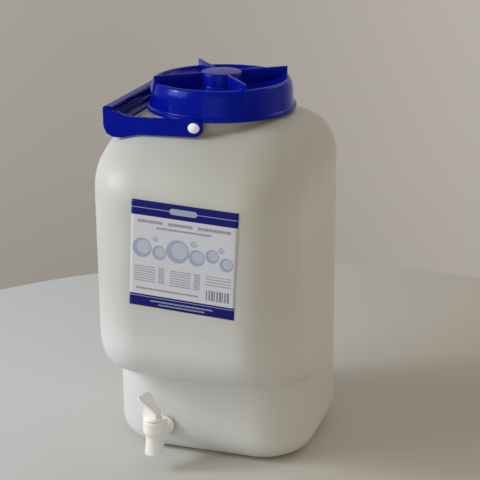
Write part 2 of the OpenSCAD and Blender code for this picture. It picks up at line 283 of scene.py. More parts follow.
@dataclass(frozen=True)
class Moulding:
    """Injection or blow moulded plastic with faint flow mottling and scuffs.

    Attributes:
        name: Name of the material.
        colour: Main colour, linear.
        tint: Colour that the mottling leans to.
        rough: Lowest and highest roughness.
        mottle: Repeats of the mottling in a metre.
        grain: Depth of the fine surface grain in metres.
        waves: Depth of the slow waviness in metres.
        scatter: Share of light that passes under the surface.
        radius: How far it passes, for red, green and blue, in metres.
        sheen: Strength of the surface reflection.
        sheen_tint: Colour of the reflection seen straight on.
    """

    name: str
    colour: Colour
    tint: Colour
    rough: tuple[float, float] = (0.3, 0.42)
    mottle: float = 14.0
    grain: float = 0.00002
    waves: float = 0.0
    scatter: float = 0.0
    radius: Colour = (0.01, 0.01, 0.008)
    sheen: float = 0.45
    sheen_tint: Colour = (1.0, 1.0, 1.0)

    def build(self) -> bpy.types.Material:
        """Makes the material.

        Returns:
            The finished material.
        """
        graph = Graph(self.name)
        place = graph.position()
        slow = graph.noise(place, self.mottle, 2.0)
        fine = graph.noise(place, 900.0, 2.0)
        share = graph.remap(slow, (0.35, 0.65), smooth=True)
        graph.link(graph.mix(share, self.colour, self.tint), graph.shader.inputs["Base Color"])
        scuff = graph.noise(graph.position((1.0, 1.0, 3.0)), 55.0, 5.0)
        graph.link(graph.remap(scuff, (0.35, 0.7), self.rough), graph.shader.inputs["Roughness"])
        height = graph.math("MULTIPLY", fine, self.grain / max(self.grain, self.waves, 1e-9))
        if self.waves:
            wave = graph.noise(place, 22.0, 1.0)
            height = graph.math("ADD", height, wave)
        graph.bump(height, max(self.grain, self.waves))
        if self.scatter:
            graph.set(
                Subsurface_Weight=self.scatter,
                Subsurface_Radius=self.radius,
                Subsurface_Scale=1.0,
            )
        graph.set(Specular_IOR_Level=self.sheen, Specular_Tint=(*self.sheen_tint, 1.0))
        return graph.material


@dataclass(frozen=True)
class MilkyBottle:
    """Natural polyethylene: milky, waxy and a little greener where the wall is thick, with painted
    light on the lower wall, under the overhang and on the right side, and painted shade beside the
    neck.

    Attributes:
        name: Name of the material.
        colour: Colour of the thin wall.
        thick: Colour of thick corners and rims.
        painted_side_light: Painted light: colour of the right side, away from the window, where
            dim, yellowish light comes through the wall from behind.
        low: Painted light: lighter colour of the lower wall, standing in for the light that comes
            through it from below.
        under: Painted light: lighter colour of the underside of the overhang, standing in for the
            light that comes through the wall.
        crown: Painted shade: darker colour of the shoulder beside the neck, where the cap shades
            it and less light comes through the thick wall.
        half_width: Half the width of the body in metres.
        painted_low_light_band: Heights where the painted light of the lower wall starts and is
            full, in metres.
        painted_underside_light_foot: Heights where the painted light of the underside comes in, in
            metres.
        painted_underside_light_top: Heights where that painted light has gone and is full again,
            in metres.
        painted_crown_shade_band: Heights where the painted shade beside the neck starts and is
            full, in metres.
        painted_crown_shade_side: Places across where that painted shade starts and is full, in
            metres; it is darker to the right.
    """

    name: str = "milky_polyethylene"
    colour: Colour = (0.72, 0.71, 0.62)
    thick: Colour = (0.68, 0.68, 0.58)
    painted_side_light: Colour = (0.85, 0.76, 0.59)
    low: Colour = (0.92, 0.925, 0.84)
    under: Colour = (0.98, 0.98, 0.93)
    crown: Colour = (0.50, 0.46, 0.37)
    half_width: float = 0.124
    painted_low_light_band: Point = (0.24, 0.13)
    painted_underside_light_foot: Point = (0.085, 0.112)
    painted_underside_light_top: Point = (0.19, 0.13)
    painted_crown_shade_band: Point = (0.31, 0.40)
    painted_crown_shade_side: Point = (-0.07, 0.07)

    def build(self) -> bpy.types.Material:
        """Makes the material.

        Returns:
            The finished material.
        """
        graph = Graph(self.name)
        place = graph.position()
        across, _, up = graph.axes(place)
        # Painted light: the lower wall gets lighter towards the floor.
        low = graph.remap(up, self.painted_low_light_band, smooth=True)
        # Painted light: a lighter band under the overhang, on every side of the body.
        under = graph.math(
            "MULTIPLY",
            graph.remap(up, self.painted_underside_light_foot, smooth=True),
            graph.remap(up, self.painted_underside_light_top, smooth=True),
        )
        # Painted light: the right side takes the yellowish colour of the room's light.
        side = graph.remap(across, (0.2 * self.half_width, self.half_width), (0.0, 0.8), True)
        patches = graph.remap(graph.noise(place, 9.0, 3.0), (0.3, 0.7), (0.0, 0.5), True)
        colour = graph.mix(patches, self.colour, self.thick)
        # Mixes in the painted light of the lower wall, of the underside of the overhang and of the
        # right side.
        colour = graph.mix(low, colour, self.low)
        colour = graph.mix(under, colour, self.under)
        colour = graph.mix(side, colour, self.painted_side_light)
        # Painted shade: the shoulder beside the neck gets darker, most on the right.
        crown = graph.math(
            "MULTIPLY",
            graph.remap(up, self.painted_crown_shade_band, (0.0, 0.8), True),
            graph.remap(across, self.painted_crown_shade_side, smooth=True),
        )
        colour = graph.mix(crown, colour, self.crown)
        graph.link(colour, graph.shader.inputs["Base Color"])
        haze = graph.noise(graph.position((1.0, 1.0, 0.35)), 40.0, 4.0)
        graph.link(graph.remap(haze, (0.3, 0.7), (0.36, 0.5)), graph.shader.inputs["Roughness"])
        ripple = graph.noise(graph.position((1.0, 1.0, 0.5)), 17.0, 1.5)
        grain = graph.math("MULTIPLY", graph.noise(place, 700.0, 2.0), 0.05)
        graph.bump(graph.math("ADD", ripple, grain), 0.0009)
        graph.set(
            Subsurface_Weight=0.55,
            Subsurface_Radius=(0.030, 0.026, 0.018),
            Subsurface_Scale=1.0,
            Specular_IOR_Level=0.4,
        )
        return graph.material


@dataclass(frozen=True)
class Block:
    """One printed block of the label, in millimetres from its lower left corner.

    Attributes:
        left: Left edge.
        low: Lower edge.
        right: Right edge.
        high: Upper edge.
        ink: Colour of the ink.
        corner: Corner radius.
        pitch: Distance between ruled lines, or 0 where there are none.
        stroke: Share of the pitch that is inked.
        gaps: Whether the ruled lines are broken up.
    """

    left: float
    low: float
    right: float
    high: float
    ink: Colour
    corner: float = 0.0
    pitch: float = 0.0
    stroke: float = 0.5
    gaps: bool = False


NAVY: Colour = (0.003, 0.004, 0.15)
PAPER: Colour = (0.60, 0.61, 0.67)
RULE_GREY: Colour = (0.20, 0.20, 0.27)
PALE_BLUE: Colour = (0.33, 0.38, 0.52)
SOFT_BLUE: Colour = (0.46, 0.50, 0.60)


@dataclass(frozen=True)
class PrintedFilm:
    """White film label with bands, round spots and ruled lines and no words.

    Attributes:
        name: Name of the material.
        width: Width of the label in millimetres.
        height: Height of the label in millimetres.
        bubbles: Round spots: place across as a share of the width, height and radius.
    """

    name: str = "printed_label_film"
    width: float = 125.0
    height: float = 125.5
    bubbles: tuple[tuple[float, float, float], ...] = (
        (0.11, 70.0, 11.5), (0.275, 66.5, 8.5), (0.45, 71.0, 13.5), (0.63, 67.0, 9.5),
        (0.775, 71.5, 8.0), (0.91, 64.0, 8.0), (0.24, 82.0, 3.2), (0.60, 82.5, 3.6),
        (0.86, 80.0, 3.4),
    )

    def blocks(self) -> list[Block]:
        """Lists what is printed, from back to front.

        Returns:
            The blocks.
        """
        w, h = self.width, self.height
        band_top, band_low = 0.137 * h, 0.113 * h
        mid = h - band_top / 2
        made = [
            Block(0, h - band_top, w, h, NAVY),
            Block(0, mid - 0.3, w, mid + 0.3, PALE_BLUE),
            Block(0.36 * w, mid - 3.4, 0.62 * w, mid + 3.4, PALE_BLUE, corner=3.4),
            Block(0, 0, w, band_low, NAVY),
            Block(0, band_low - 2.6, w, band_low - 2.0, PALE_BLUE),
            Block(0.20 * w, 6.6, 0.80 * w, 8.4, PALE_BLUE, gaps=True),
            Block(0.28 * w, 3.0, 0.72 * w, 4.6, PALE_BLUE, gaps=True),
        ]
        for left, right in ((0.06, 0.30), (0.35, 0.58), (0.63, 0.94)):
            made.append(Block(left * w, h - 25.6, right * w, h - 22.2, RULE_GREY, gaps=True))
        made.append(Block(0.24 * w, h - 31.4, 0.76 * w, h - 29.2, RULE_GREY, gaps=True))
        for middle, height, radius in self.bubbles:
            left, low = middle * w - radius, height - radius
            made += [
                Block(left, low, left + 2 * radius, low + 2 * radius, PALE_BLUE, corner=radius),
                Block(left + 0.45 * radius, low + 0.4 * radius, left + 1.85 * radius,
                      low + 1.8 * radius, SOFT_BLUE, corner=0.7 * radius),
            ]
        made += [
            Block(0.04 * w, 30.0, 0.24 * w, 49.0, RULE_GREY, pitch=2.9, stroke=0.42, gaps=True),
            Block(0.27 * w, 30.0, 0.33 * w, 49.0, RULE_GREY, pitch=2.2, stroke=0.6, gaps=True),
            Block(0.38 * w, 29.0, 0.58 * w, 48.0, RULE_GREY, pitch=2.9, stroke=0.42, gaps=True),
            Block(0.61 * w, 29.0, 0.67 * w, 48.0, RULE_GREY, pitch=2.2, stroke=0.6, gaps=True),
            Block(0.72 * w, 37.0, 0.96 * w, 48.0, RULE_GREY, pitch=3.4, stroke=0.35, gaps=True),
            Block(0.06 * w, 20.5, 0.66 * w, 22.6, RULE_GREY, gaps=True),
        ]
        for step in range(9):
            left = 0.73 * w + 3.1 * step
            made.append(Block(left, 19.0, left + 1.2 + 0.5 * (step % 3), 31.0, RULE_GREY))
        return made

    def cover(
        self,
        graph: Graph,
        block: Block,
        across: bpy.types.NodeSocket,
        up: bpy.types.NodeSocket,
        breaks: bpy.types.NodeSocket,
    ) -> bpy.types.NodeSocket:
        """Works out where a block has ink.

        Args:
            graph: Tree of the material.
            block: The printed block.
            across: Distance from the left edge in millimetres.
            up: Distance from the lower edge in millimetres.
            breaks: Value that breaks the ruled lines.

        Returns:
            Ink cover, 0 to 1.
        """
        outside = []
        spans = (
            (across, (block.left + block.right) / 2, (block.right - block.left) / 2),
            (up, (block.low + block.high) / 2, (block.high - block.low) / 2),
        )
        for value, middle, half in spans:
            away = graph.math("ABSOLUTE", graph.math("SUBTRACT", value, middle))
            outside.append(
                graph.math("MAXIMUM", graph.math("SUBTRACT", away, half - block.corner), 0.0)
            )
        squares = [graph.math("MULTIPLY", value, value) for value in outside]
        gap = graph.math("SQRT", graph.math("ADD", squares[0], squares[1]))
        edge = max(block.corner, 0.02)
        ink = graph.remap(gap, (edge + 0.12, edge - 0.02))
        if block.pitch:
            phase = graph.math(
                "FRACT", graph.math("DIVIDE", graph.math("SUBTRACT", up, block.low), block.pitch)
            )
            rows = graph.math("LESS_THAN", phase, block.stroke)
            ink = graph.math("MULTIPLY", ink, rows)
        if block.gaps:
            ink = graph.math("MULTIPLY", ink, breaks)
        return ink

    def build(self) -> bpy.types.Material:
        """Makes the material.

        Returns:
            The finished material.
        """
        graph = Graph(self.name)
        place = graph.tree.nodes.new("ShaderNodeTexCoord")
        right, high, _ = graph.axes(place.outputs["UV"])
        across = graph.math("MULTIPLY", right, self.width)
        up = graph.math("MULTIPLY", high, self.height)
        stretch = graph.tree.nodes.new("ShaderNodeCombineXYZ")
        graph.link(graph.math("MULTIPLY", across, 0.9), stretch.inputs[0])
        graph.link(graph.math("FLOOR", graph.math("MULTIPLY", up, 0.41)), stretch.inputs[1])
        patches = graph.noise(stretch.outputs[0], 1.0, 4.0)
        breaks = graph.remap(patches, (0.36, 0.54), (0.1, 0.9))
        colour: bpy.types.NodeSocket | Colour = PAPER
        for block in self.blocks():
            ink = self.cover(graph, block, across, up, breaks)
            colour = graph.mix(ink, colour, block.ink)
        graph.link(colour, graph.shader.inputs["Base Color"])
        haze = graph.noise(graph.position(), 60.0, 3.0)
        graph.link(graph.remap(haze, (0.3, 0.7), (0.3, 0.44)), graph.shader.inputs["Roughness"])
        graph.bump(graph.noise(graph.position(), 30.0, 2.0), 0.0003)
        graph.set(Specular_IOR_Level=0.3, Specular_Tint=(0.7, 0.75, 1.0, 1.0))
        return graph.material


@dataclass(frozen=True)
class StageFinish:
    """Plain surface of the stage, with painted light and shade: a little lighter to one side.

    Attributes:
        name: Name of the material.
        near: Colour at the low end of the blend.
        far: Colour at the high end of the blend.
        axis: Axis of the blend: 0, 1 or 2.
        span: Where the blend starts and ends, in metres.
        one_sided: Whether the surface is clear from its back.
    """

    name: str
    near: Colour
    far: Colour
    axis: int
    span: tuple[float, float]
    one_sided: bool = False

    def build(self) -> bpy.types.Material:
        """Makes the material.

        Returns:
            The finished material.
        """
        graph = Graph(self.name)
        place = graph.position()
        value = graph.axes(place)[self.axis]
        # The blend is painted light and shade across the surface.
        share = graph.remap(value, self.span, smooth=True)
        graph.link(graph.mix(share, self.near, self.far), graph.shader.inputs["Base Color"])
        graph.set(Roughness=0.8, Specular_IOR_Level=0.2)
        if self.one_sided:
            graph.clear_from_behind()
        return graph.material


@dataclass
class Finishes:
    """Every finish of the bottle, built once."""

    milky: bpy.types.Material = field(init=False)
    blue: bpy.types.Material = field(init=False)
    white: bpy.types.Material = field(init=False)
    label: bpy.types.Material = field(init=False)
    foam: bpy.types.Material = field(init=False)
    rubber: bpy.types.Material = field(init=False)
    silicone: bpy.types.Material = field(init=False)

    def __post_init__(self) -> None:
        """Builds the materials."""
        self.milky = MilkyBottle().build()
        self.blue = Moulding(
            "blue_polypropylene", (0.0008, 0.007, 0.30), (0.0006, 0.005, 0.26),
            rough=(0.15, 0.22), waves=0.00008, sheen=0.26, sheen_tint=(0.25, 0.38, 1.0),
        ).build()
        self.white = Moulding(
            "white_tap_moulding", (0.90, 0.90, 0.90), (0.86, 0.86, 0.85),
            rough=(0.34, 0.46), mottle=40.0, waves=0.00008, scatter=0.15,
            radius=(0.003, 0.0025, 0.002),
        ).build()
        self.label = PrintedFilm().build()
        self.foam = Moulding(
            "closed_cell_foam", (0.66, 0.66, 0.62), (0.58, 0.58, 0.54),
            rough=(0.8, 0.95), mottle=90.0, grain=0.0003,
        ).build()
        self.rubber = Moulding(
            "black_sealing_rubber", (0.022, 0.022, 0.023), (0.035, 0.034, 0.033),
            rough=(0.55, 0.75), mottle=120.0, grain=0.00008,
        ).build()
        self.silicone = Moulding(
            "clear_silicone", (0.50, 0.48, 0.43), (0.44, 0.42, 0.37),
            rough=(0.45, 0.6), mottle=120.0, grain=0.00005,
        ).build()


# ---------------------------------------------------------------- mesh helpers


def link_mesh(
    name: str, mesh: bmesh.types.BMesh, material: bpy.types.Material
) -> bpy.types.Object:
    """Puts a mesh into the scene as an object.

    Args:
        name: Name of the object.
        mesh: The mesh, which is freed.
        material: Its material.

    Returns:
        The object.
    """
    data = bpy.data.meshes.new(name)
    mesh.to_mesh(data)
    mesh.free()
    data.materials.append(material)
    made = bpy.data.objects.new(name, data)
    bpy.context.scene.collection.objects.link(made)
    return made


def place_mesh(
    name: str,
    mesh: bmesh.types.BMesh,
    material: bpy.types.Material,
    body: Body,
    replaces: Iterable[str] = (),
    scale: float = MM,
    outward: bool = True,
) -> bpy.types.Object:
    """Turns a mesh in millimetres into a finished piece.

    Args:
        name: Name of the piece.
        mesh: The mesh, which is freed.
        material: Its material.
        body: Body that it rides on.
        replaces: CAD nodes that it stands for.
        scale: Metres in one unit of the mesh.
        outward: Whether the faces are turned outwards.

    Returns:
        The new object.
    """
    bmesh.ops.scale(mesh, vec=(scale, scale, scale), verts=mesh.verts)
    bmesh.ops.remove_doubles(mesh, verts=mesh.verts, dist=1e-6)
    if outward:
        bmesh.ops.recalc_face_normals(mesh, faces=mesh.faces)
    for face in mesh.faces:
        face.smooth = True
    piece = link_mesh(name, mesh, material)
    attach(piece, body.value)
    nodes = list(replaces)
    if nodes:
        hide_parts(*nodes)
    LOG.info("%s: %d faces on %s", name, len(piece.data.polygons), body.value)
    return piece


def soften(piece: bpy.types.Object, width: float) -> None:
    """Rounds a piece's sharp edges and shades it smoothly.

    Args:
        piece: The piece.
        width: Width of the rounding in metres.
    """
    bevel = piece.modifiers.new("soft_edges", "BEVEL")
    bevel.width = width
    bevel.segments = 3
    bevel.limit_method = "ANGLE"
    bevel.angle_limit = math.radians(SHARP_EDGE)
    bevel.use_clamp_overlap = True
    bevel.harden_normals = False
    shade = piece.modifiers.new("weighted_normals", "WEIGHTED_NORMAL")
    shade.keep_sharp = True


def softened_copy(
    name: str,
    node: str,
    material: bpy.types.Material,
    body: Body,
    width: float,
) -> None:
    """Copies a CAD node, merges its triangles and rounds its edges.

    Args:
        name: Name of the piece.
        node: CAD node to copy and stand for.
        material: Its material.
        body: Body that it rides on.
        width: Width of the rounding in metres.
    """
    mesh = bmesh.new()
    mesh.from_mesh(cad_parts[node].data)
    bmesh.ops.remove_doubles(mesh, verts=mesh.verts, dist=2e-6)
    bmesh.ops.dissolve_limit(
        mesh, angle_limit=math.radians(FLAT_EDGE), verts=mesh.verts, edges=mesh.edges
    )
    soften(place_mesh(name, mesh, material, body, [node], scale=1.0), width)


def spun(profile: Sequence[Point], steps: int) -> bmesh.types.BMesh:
    """Turns a profile round the Z axis.

    Args:
        profile: Radius and height of each point in millimetres.
        steps: Steps in the turn.

    Returns:
        The turned mesh.
    """
    mesh = bmesh.new()
    points = [mesh.verts.new((radius, 0.0, height)) for radius, height in profile]
    edges = [mesh.edges.new(pair) for pair in zip(points, points[1:])]
    bmesh.ops.spin(
        mesh, geom=points + edges, cent=(0, 0, 0), axis=(0, 0, 1), angle=math.tau,
        steps=steps, use_merge=True,
    )
    bmesh.ops.remove_doubles(mesh, verts=mesh.verts, dist=1e-4)
    return mesh


def rounded(points: Sequence[Point], radii: Sequence[float], steps: int = 5) -> list[Point]:
    """Rounds the corners of an open profile.

    Args:
        points: Corner points.
        radii: Rounding at each point.
        steps: Steps in each rounding.

    Returns:
        The profile with its corners rounded.
    """
    made: list[Point] = []
    for index, point in enumerate(points):
        here = Vector(point)
        if index in (0, len(points) - 1) or radii[index] <= 0:
            made.append((here.x, here.y))
            continue
        before, after = Vector(points[index - 1]) - here, Vector(points[index + 1]) - here
        reach = min(radii[index], 0.49 * before.length, 0.49 * after.length)
        start, end = here + before.normalized() * reach, here + after.normalized() * reach
        for step in range(steps + 1):
            share = step / steps
            spot = start.lerp(here, share).lerp(here.lerp(end, share), share)
            made.append((spot.x, spot.y))
    return made


def arc(radius: float, leg: float) -> float:
    """Gives the other leg of a right triangle, or 0 where there is none."""
    return math.sqrt(max(0.0, radius * radius - leg * leg))


# ---------------------------------------------------------------- bottle


@dataclass
class BottleBody:
    """Blow moulded body with its neck, lugs and tap pad, in millimetres.

    Attributes:
        finishes: Finishes of the bottle.
        corner: Radius of the upright corners.
        shoulder: Radius of the side shoulders.
        crown: Radius of the roof between front and back.
        brow: Radius where the roof meets front and back.
        foot: Radius of the bottom edge.
        wall: Thickness of the wall.
        recess: How far the lower front stands back.
        under: Height of the underside of the overhang.
        overhang: Radius of the overhang.
        hollow: Radius of the hollow corner under it.
        neck: Radius of the neck.
        neck_rise: Height of the neck above the roof.
        fillet: Radius between roof and neck.
        lug: Width and height of a lug.
        lug_root: How deep a lug reaches into the neck.
        lug_drop: How far the middle of a lug lies below its pin.
        arm: Thickness of the handle's arm.
        arm_gap: Gap between lug and arm.
        pad: Radius of the tap's pad.
    """

    finishes: Finishes
    corner: float = 66.0
    shoulder: float = 70.0
    crown: float = 200.0
    brow: float = 50.0
    foot: float = 30.0
    wall: float = 2.6
    recess: float = 62.0
    under: float = 110.0
    overhang: float = 58.0
    hollow: float = 12.0
    neck: float = 78.0
    neck_rise: float = 20.5
    fillet: float = 7.0
    lug: float = 13.0
    lug_root: float = 6.0
    lug_drop: float = 1.9
    arm: float = 4.2
    arm_gap: float = 0.4
    pad: float = 13.6
    half: float = field(init=False)
    front: float = field(init=False)
    rear: float = field(init=False)
    mouth: float = field(init=False)
    roof: float = field(init=False)

    def __post_init__(self) -> None:
        """Takes the outer sizes from the CAD tank."""
        low, high = cad_box_mm("tank")
        self.half = (high.x - low.x) / 2
        self.front, self.rear = -low.y, high.y
        self.mouth = high.z
        self.roof = self.mouth - self.neck_rise

    def side(self, height: float) -> float:
        """Gives the half width at a height."""
        turn = self.roof - self.shoulder
        if height > turn:
            return self.half - self.shoulder + arc(self.shoulder, height - turn)
        if height < self.foot:
            return self.half - self.foot + arc(self.foot, self.foot - height)
        return self.half

    def face(self, height: float, reach: float) -> float:
        """Gives how far a face that stands at a reach is from the neck axis at a height."""
        low = self.roof - self.crown
        turn = low + arc(self.crown - self.brow, reach - self.brow)
        top = low + self.crown * (turn - low) / (self.crown - self.brow)
        if height > top:
            return arc(self.crown, height - low)
        if height > turn:
            return reach - self.brow + arc(self.brow, height - turn)
        if height < self.foot:
            return reach - self.foot + arc(self.foot, self.foot - height)
        return reach

    def front_face(self, height: float) -> float:
        """Gives the distance of the front, with its overhang, at a height."""
        set_back = self.front - self.recess
        start = self.under + self.overhang
        total = self.overhang + self.hollow
        fall = arc(total, total - self.recess)
        change = start - self.overhang * fall / total
        if height > start:
            return self.face(height, self.front)
        if height > change:
            return self.front - self.overhang + arc(self.overhang, start - height)
        if height > start - fall:
            return set_back + self.hollow - arc(self.hollow, height - start + fall)
        return self.face(height, set_back)

    def section(self, height: float, corner_steps: int = 16, side_steps: int = 10) -> list[Vector]:
        """Gives the outline at a height, starting at the middle of the right side.

        Args:
            height: Height of the cut.
            corner_steps: Steps round each corner.
            side_steps: Steps along each straight side.

        Returns:
            Points, anticlockwise seen from above.
        """
        half = self.side(height)
        round_by = self.corner - self.half + half
        points: list[Vector] = []
        quarters = ((1, 1, 0.0), (-1, 1, 90.0), (-1, -1, 180.0), (1, -1, 270.0))
        for right, back, start in quarters:
            reach = self.face(height, self.rear) if back > 0 else self.front_face(height)
            radius = max(2.0, min(round_by, reach - 1.0))
            centre = Vector((right * (half - radius), back * (reach - radius), height))
            for step in range(corner_steps + 1):
                angle = math.radians(start + 90.0 * step / corner_steps)
                points.append(centre + radius * Vector((math.cos(angle), math.sin(angle), 0.0)))
        filled: list[Vector] = []
        for index, point in enumerate(points):
            filled.append(point)
            if index % (corner_steps + 1) == corner_steps:
                following = points[(index + 1) % len(points)]
                filled += [point.lerp(following, k / side_steps) for k in range(1, side_steps)]
        return filled

    def holds(self, spot: Vector, height: float) -> bool:
        """Tells whether a spot in plan lies inside the outline at a height."""
        half = self.side(height)
        reach = self.face(height, self.rear) if spot.y > 0 else self.front_face(height)
        radius = max(2.0, min(self.corner - self.half + half, reach - 1.0))
        out_x, out_y = abs(spot.x) - half + radius, abs(spot.y) - reach + radius
        if out_x > radius or out_y > radius:
            return False
        return max(out_x, 0.0) ** 2 + max(out_y, 0.0) ** 2 <= radius * radius

    def roof_at(self, spot: Vector) -> float:
        """Gives the height of the roof over a spot in plan.

        Args:
            spot: The spot.

        Returns:
            Its height in millimetres.
        """
        low, high = self.roof - self.shoulder - 60.0, self.roof
        for _ in range(24):
            middle = (low + high) / 2
            if self.holds(spot, middle):
                low = middle
            else:
                high = middle
        return low

    def levels(self) -> list[float]:
        """Gives the heights of the rings, close where the wall turns.

        Returns:
            Heights from the floor to the start of the roof.
        """
        start = self.under + self.overhang
        total = self.overhang + self.hollow
        fall = arc(total, total - self.recess)
        change = start - self.overhang * fall / total
        made = [self.foot * (1 - math.cos(math.radians(7.5 * k))) for k in range(13)]
        made += [self.foot + (start - fall - self.foot) * k / 6 for k in range(1, 7)]
        low = start - fall
        made += [low + (change - low) * math.sin(math.radians(15 * k)) for k in range(1, 7)]
        made += [start - (start - change) * math.cos(math.radians(7.5 * k)) for k in range(1, 13)]
        bend = self.roof - self.crown + arc(self.crown - self.brow, self.front - self.brow)
        made += [start + (bend - start) * k / 14 for k in range(1, 15)]
        end = self.roof - 27.0
        made += [bend + (end - bend) * math.sin(math.radians(90 * k / 22)) for k in range(1, 23)]
        return made

    def shell(self) -> bmesh.types.BMesh:
        """Draws the outer skin up from the floor, over the roof and up the neck.

        Returns:
            The skin, open at the mouth.
        """
        mesh = bmesh.new()
        rings = [self.section(height) for height in self.levels()]
        top = rings[-1]
        fillet = self.fillet
        neck_ring = [Vector((p.x, p.y, 0.0)).normalized() * (self.neck + fillet) for p in top]
        for step in range(1, 11):
            share = step / 10
            ring = [Vector((*a.xy.lerp(b.xy, share), 0.0)) for a, b in zip(top, neck_ring)]
            rings.append([Vector((p.x, p.y, self.roof_at(p))) for p in ring])
        roof_ring = rings[-1]
        for step in range(1, 8):
            angle = math.radians(90 * step / 7)
            reach = self.neck + fillet * (1 - math.sin(angle))
            rise = fillet * (1 - math.cos(angle))
            rings.append(
                [Vector((*(p.xy.normalized() * reach), p.z + rise)) for p in roof_ring]
            )
        foot_ring = rings[-1]
        for height in (self.mouth - 9.0, self.mouth - 1.0):
            rings.append([Vector((*p.xy, height)) for p in foot_ring])
        lip = self.neck - 1.0
        rings.append([Vector((*(p.xy.normalized() * lip), self.mouth)) for p in foot_ring])
        floor = [mesh.verts.new(point) for point in rings[0]]
        bottom = mesh.faces.new(floor)
        bmesh.ops.inset_region(mesh, faces=[bottom], thickness=6.0, depth=0.0)
        edges = [mesh.edges.get((a, b)) for a, b in zip(floor, floor[1:] + floor[:1])]
        current = floor
        for ring in rings[1:]:
            made = bmesh.ops.extrude_edge_only(mesh, edges=edges)["geom"]
            copies = [item for item in made if isinstance(item, bmesh.types.BMVert)]
            below = set(current)
            order = {}
            for vert in copies:
                for edge in vert.link_edges:
                    other = edge.other_vert(vert)
                    if other in below:
                        order[other] = vert
            current = [order[vert] for vert in current]
            for vert, point in zip(current, ring):
                vert.co = point
            edges = [mesh.edges.get((a, b)) for a, b in zip(current, current[1:] + current[:1])]
        return mesh

    def thread(self) -> bmesh.types.BMesh:
        """Winds the screw ridge round the neck.

        Returns:
            The ridge.
        """
        pitch, turns, depth, steps = 6.0, 1.35, 2.4, 72
        start = self.mouth - 13.0
        mesh = bmesh.new()
        outline = ((-0.6, -1.6), (depth, -0.8), (depth, 0.8), (-0.6, 1.6))
        verts = [mesh.verts.new((self.neck + out, 0.0, start + up)) for out, up in outline]
        face = mesh.faces.new(verts)
        bmesh.ops.spin(
            mesh, geom=[face], cent=(0, 0, 0), axis=(0, 0, 1), dvec=(0, 0, pitch / steps),
            angle=math.tau * turns, steps=int(steps * turns), use_merge=False,
        )
        return mesh

    def build(self) -> None:
        """Builds every fixed piece of the bottle."""
        shell = place_mesh(
            "bottle_shell", self.shell(), self.finishes.milky, Body.BOTTLE, ["tank"]
        )
        wall = shell.modifiers.new("wall", "SOLIDIFY")
        wall.thickness = self.wall * MM
        wall.offset = -1.0
        wall.use_even_offset = False
        place_mesh("neck_thread", self.thread(), self.finishes.milky, Body.BOTTLE)
        self.lugs()
        self.tap_pad()

    def lugs(self) -> None:
        """Builds the two lugs that carry the handle pins."""
        low_pin, high_pin = cad_box_mm("handle_pin_front")
        pivot = (low_pin + high_pin) / 2
        face = cad_box_mm("handle")[1].y - self.arm - self.arm_gap
        root = self.neck - self.lug_root
        mesh = bmesh.new()
        for sign in (-1, 1):
            made = bmesh.ops.create_cube(mesh, size=1.0)["verts"]
            bmesh.ops.scale(mesh, vec=(self.lug, face - root, self.lug), verts=made)
            bmesh.ops.translate(
                mesh, vec=(pivot.x, sign * (face + root) / 2, pivot.z - self.lug_drop), verts=made
            )
        bmesh.ops.bevel(
            mesh, geom=mesh.edges[:], offset=3.0, segments=4, profile=0.5, affect="EDGES",
            material=-1,
        )
        place_mesh("pin_lugs", mesh, self.finishes.milky, Body.BOTTLE)

    def tap_pad(self) -> None:
        """Builds the low round pad that the tap is screwed against."""
        low, high = cad_box_mm("outer_washer")
        centre = (low + high) / 2
        outline = [(0, -3.0), (self.pad, -3.0), (self.pad - 0.7, 1.0), (0, 1.0)]
        mesh = spun(rounded(outline, [0, 0.5, 0.8, 0]), 64)
        bmesh.ops.rotate(
            mesh, verts=mesh.verts, cent=(0, 0, 0), matrix=Matrix.Rotation(math.pi / 2, 3, "X")
        )
        bmesh.ops.translate(
            mesh, verts=mesh.verts, vec=(centre.x, self.recess - self.front, centre.z)
        )
        place_mesh("tap_pad", mesh, self.finishes.milky, Body.BOTTLE)


@dataclass
class FrontLabel:
    """Film label that lies on the flat of the front, in millimetres.

    Attributes:
        finishes: Finishes of the bottle.
        body: The body that it lies on.
        width: Its width.
        height: Its height.
        lift: How far its face stands off the wall.
        tilt: Its tilt in degrees.
    """

    finishes: Finishes
    body: BottleBody
    width: float = 125.0
    height: float = 125.5
    lift: float = 0.3
    tilt: float = 3.1

    def build(self) -> None:
        """Builds the label as a thin sheet that follows the wall."""
        low, high = cad_box_mm("label")
        centre = (low + high) / 2
        mesh = bmesh.new()
        bmesh.ops.create_grid(mesh, x_segments=40, y_segments=40, size=0.5)
        layer = mesh.loops.layers.uv.new("UVMap")
        for face in mesh.faces:
            for loop in face.loops:
                loop[layer].uv = (loop.vert.co.x + 0.5, loop.vert.co.y + 0.5)
        turn = math.radians(self.tilt)
        for vert in mesh.verts:
            across, up = vert.co.x * self.width, vert.co.y * self.height
            x = centre.x + across * math.cos(turn) + up * math.sin(turn)
            z = centre.z - across * math.sin(turn) + up * math.cos(turn)
            vert.co = (x, self.wall_at(x, z), z)
        bmesh.ops.recalc_face_normals(mesh, faces=mesh.faces)
        if mesh.faces[0].normal.y > 0:
            bmesh.ops.reverse_faces(mesh, faces=mesh.faces)
        piece = place_mesh(
            "front_label", mesh, self.finishes.label, Body.BOTTLE, ["label"],
            outward=False,
        )
        film = piece.modifiers.new("film", "SOLIDIFY")
        film.thickness = (self.lift - 0.05) * MM
        film.offset = -1.0

    def wall_at(self, x: float, z: float) -> float:
        """Gives the Y of the label's face at a place on the front.

        Args:
            x: Sideways place.
            z: Height.

        Returns:
            The Y of its face.
        """
        reach = self.body.front_face(z)
        beyond = abs(x) - self.body.side(z) + self.body.corner
        drop = self.body.corner - arc(self.body.corner, beyond) if beyond > 0 else 0.0
        return -(reach - drop) - self.lift


# ---------------------------------------------------------------- cap


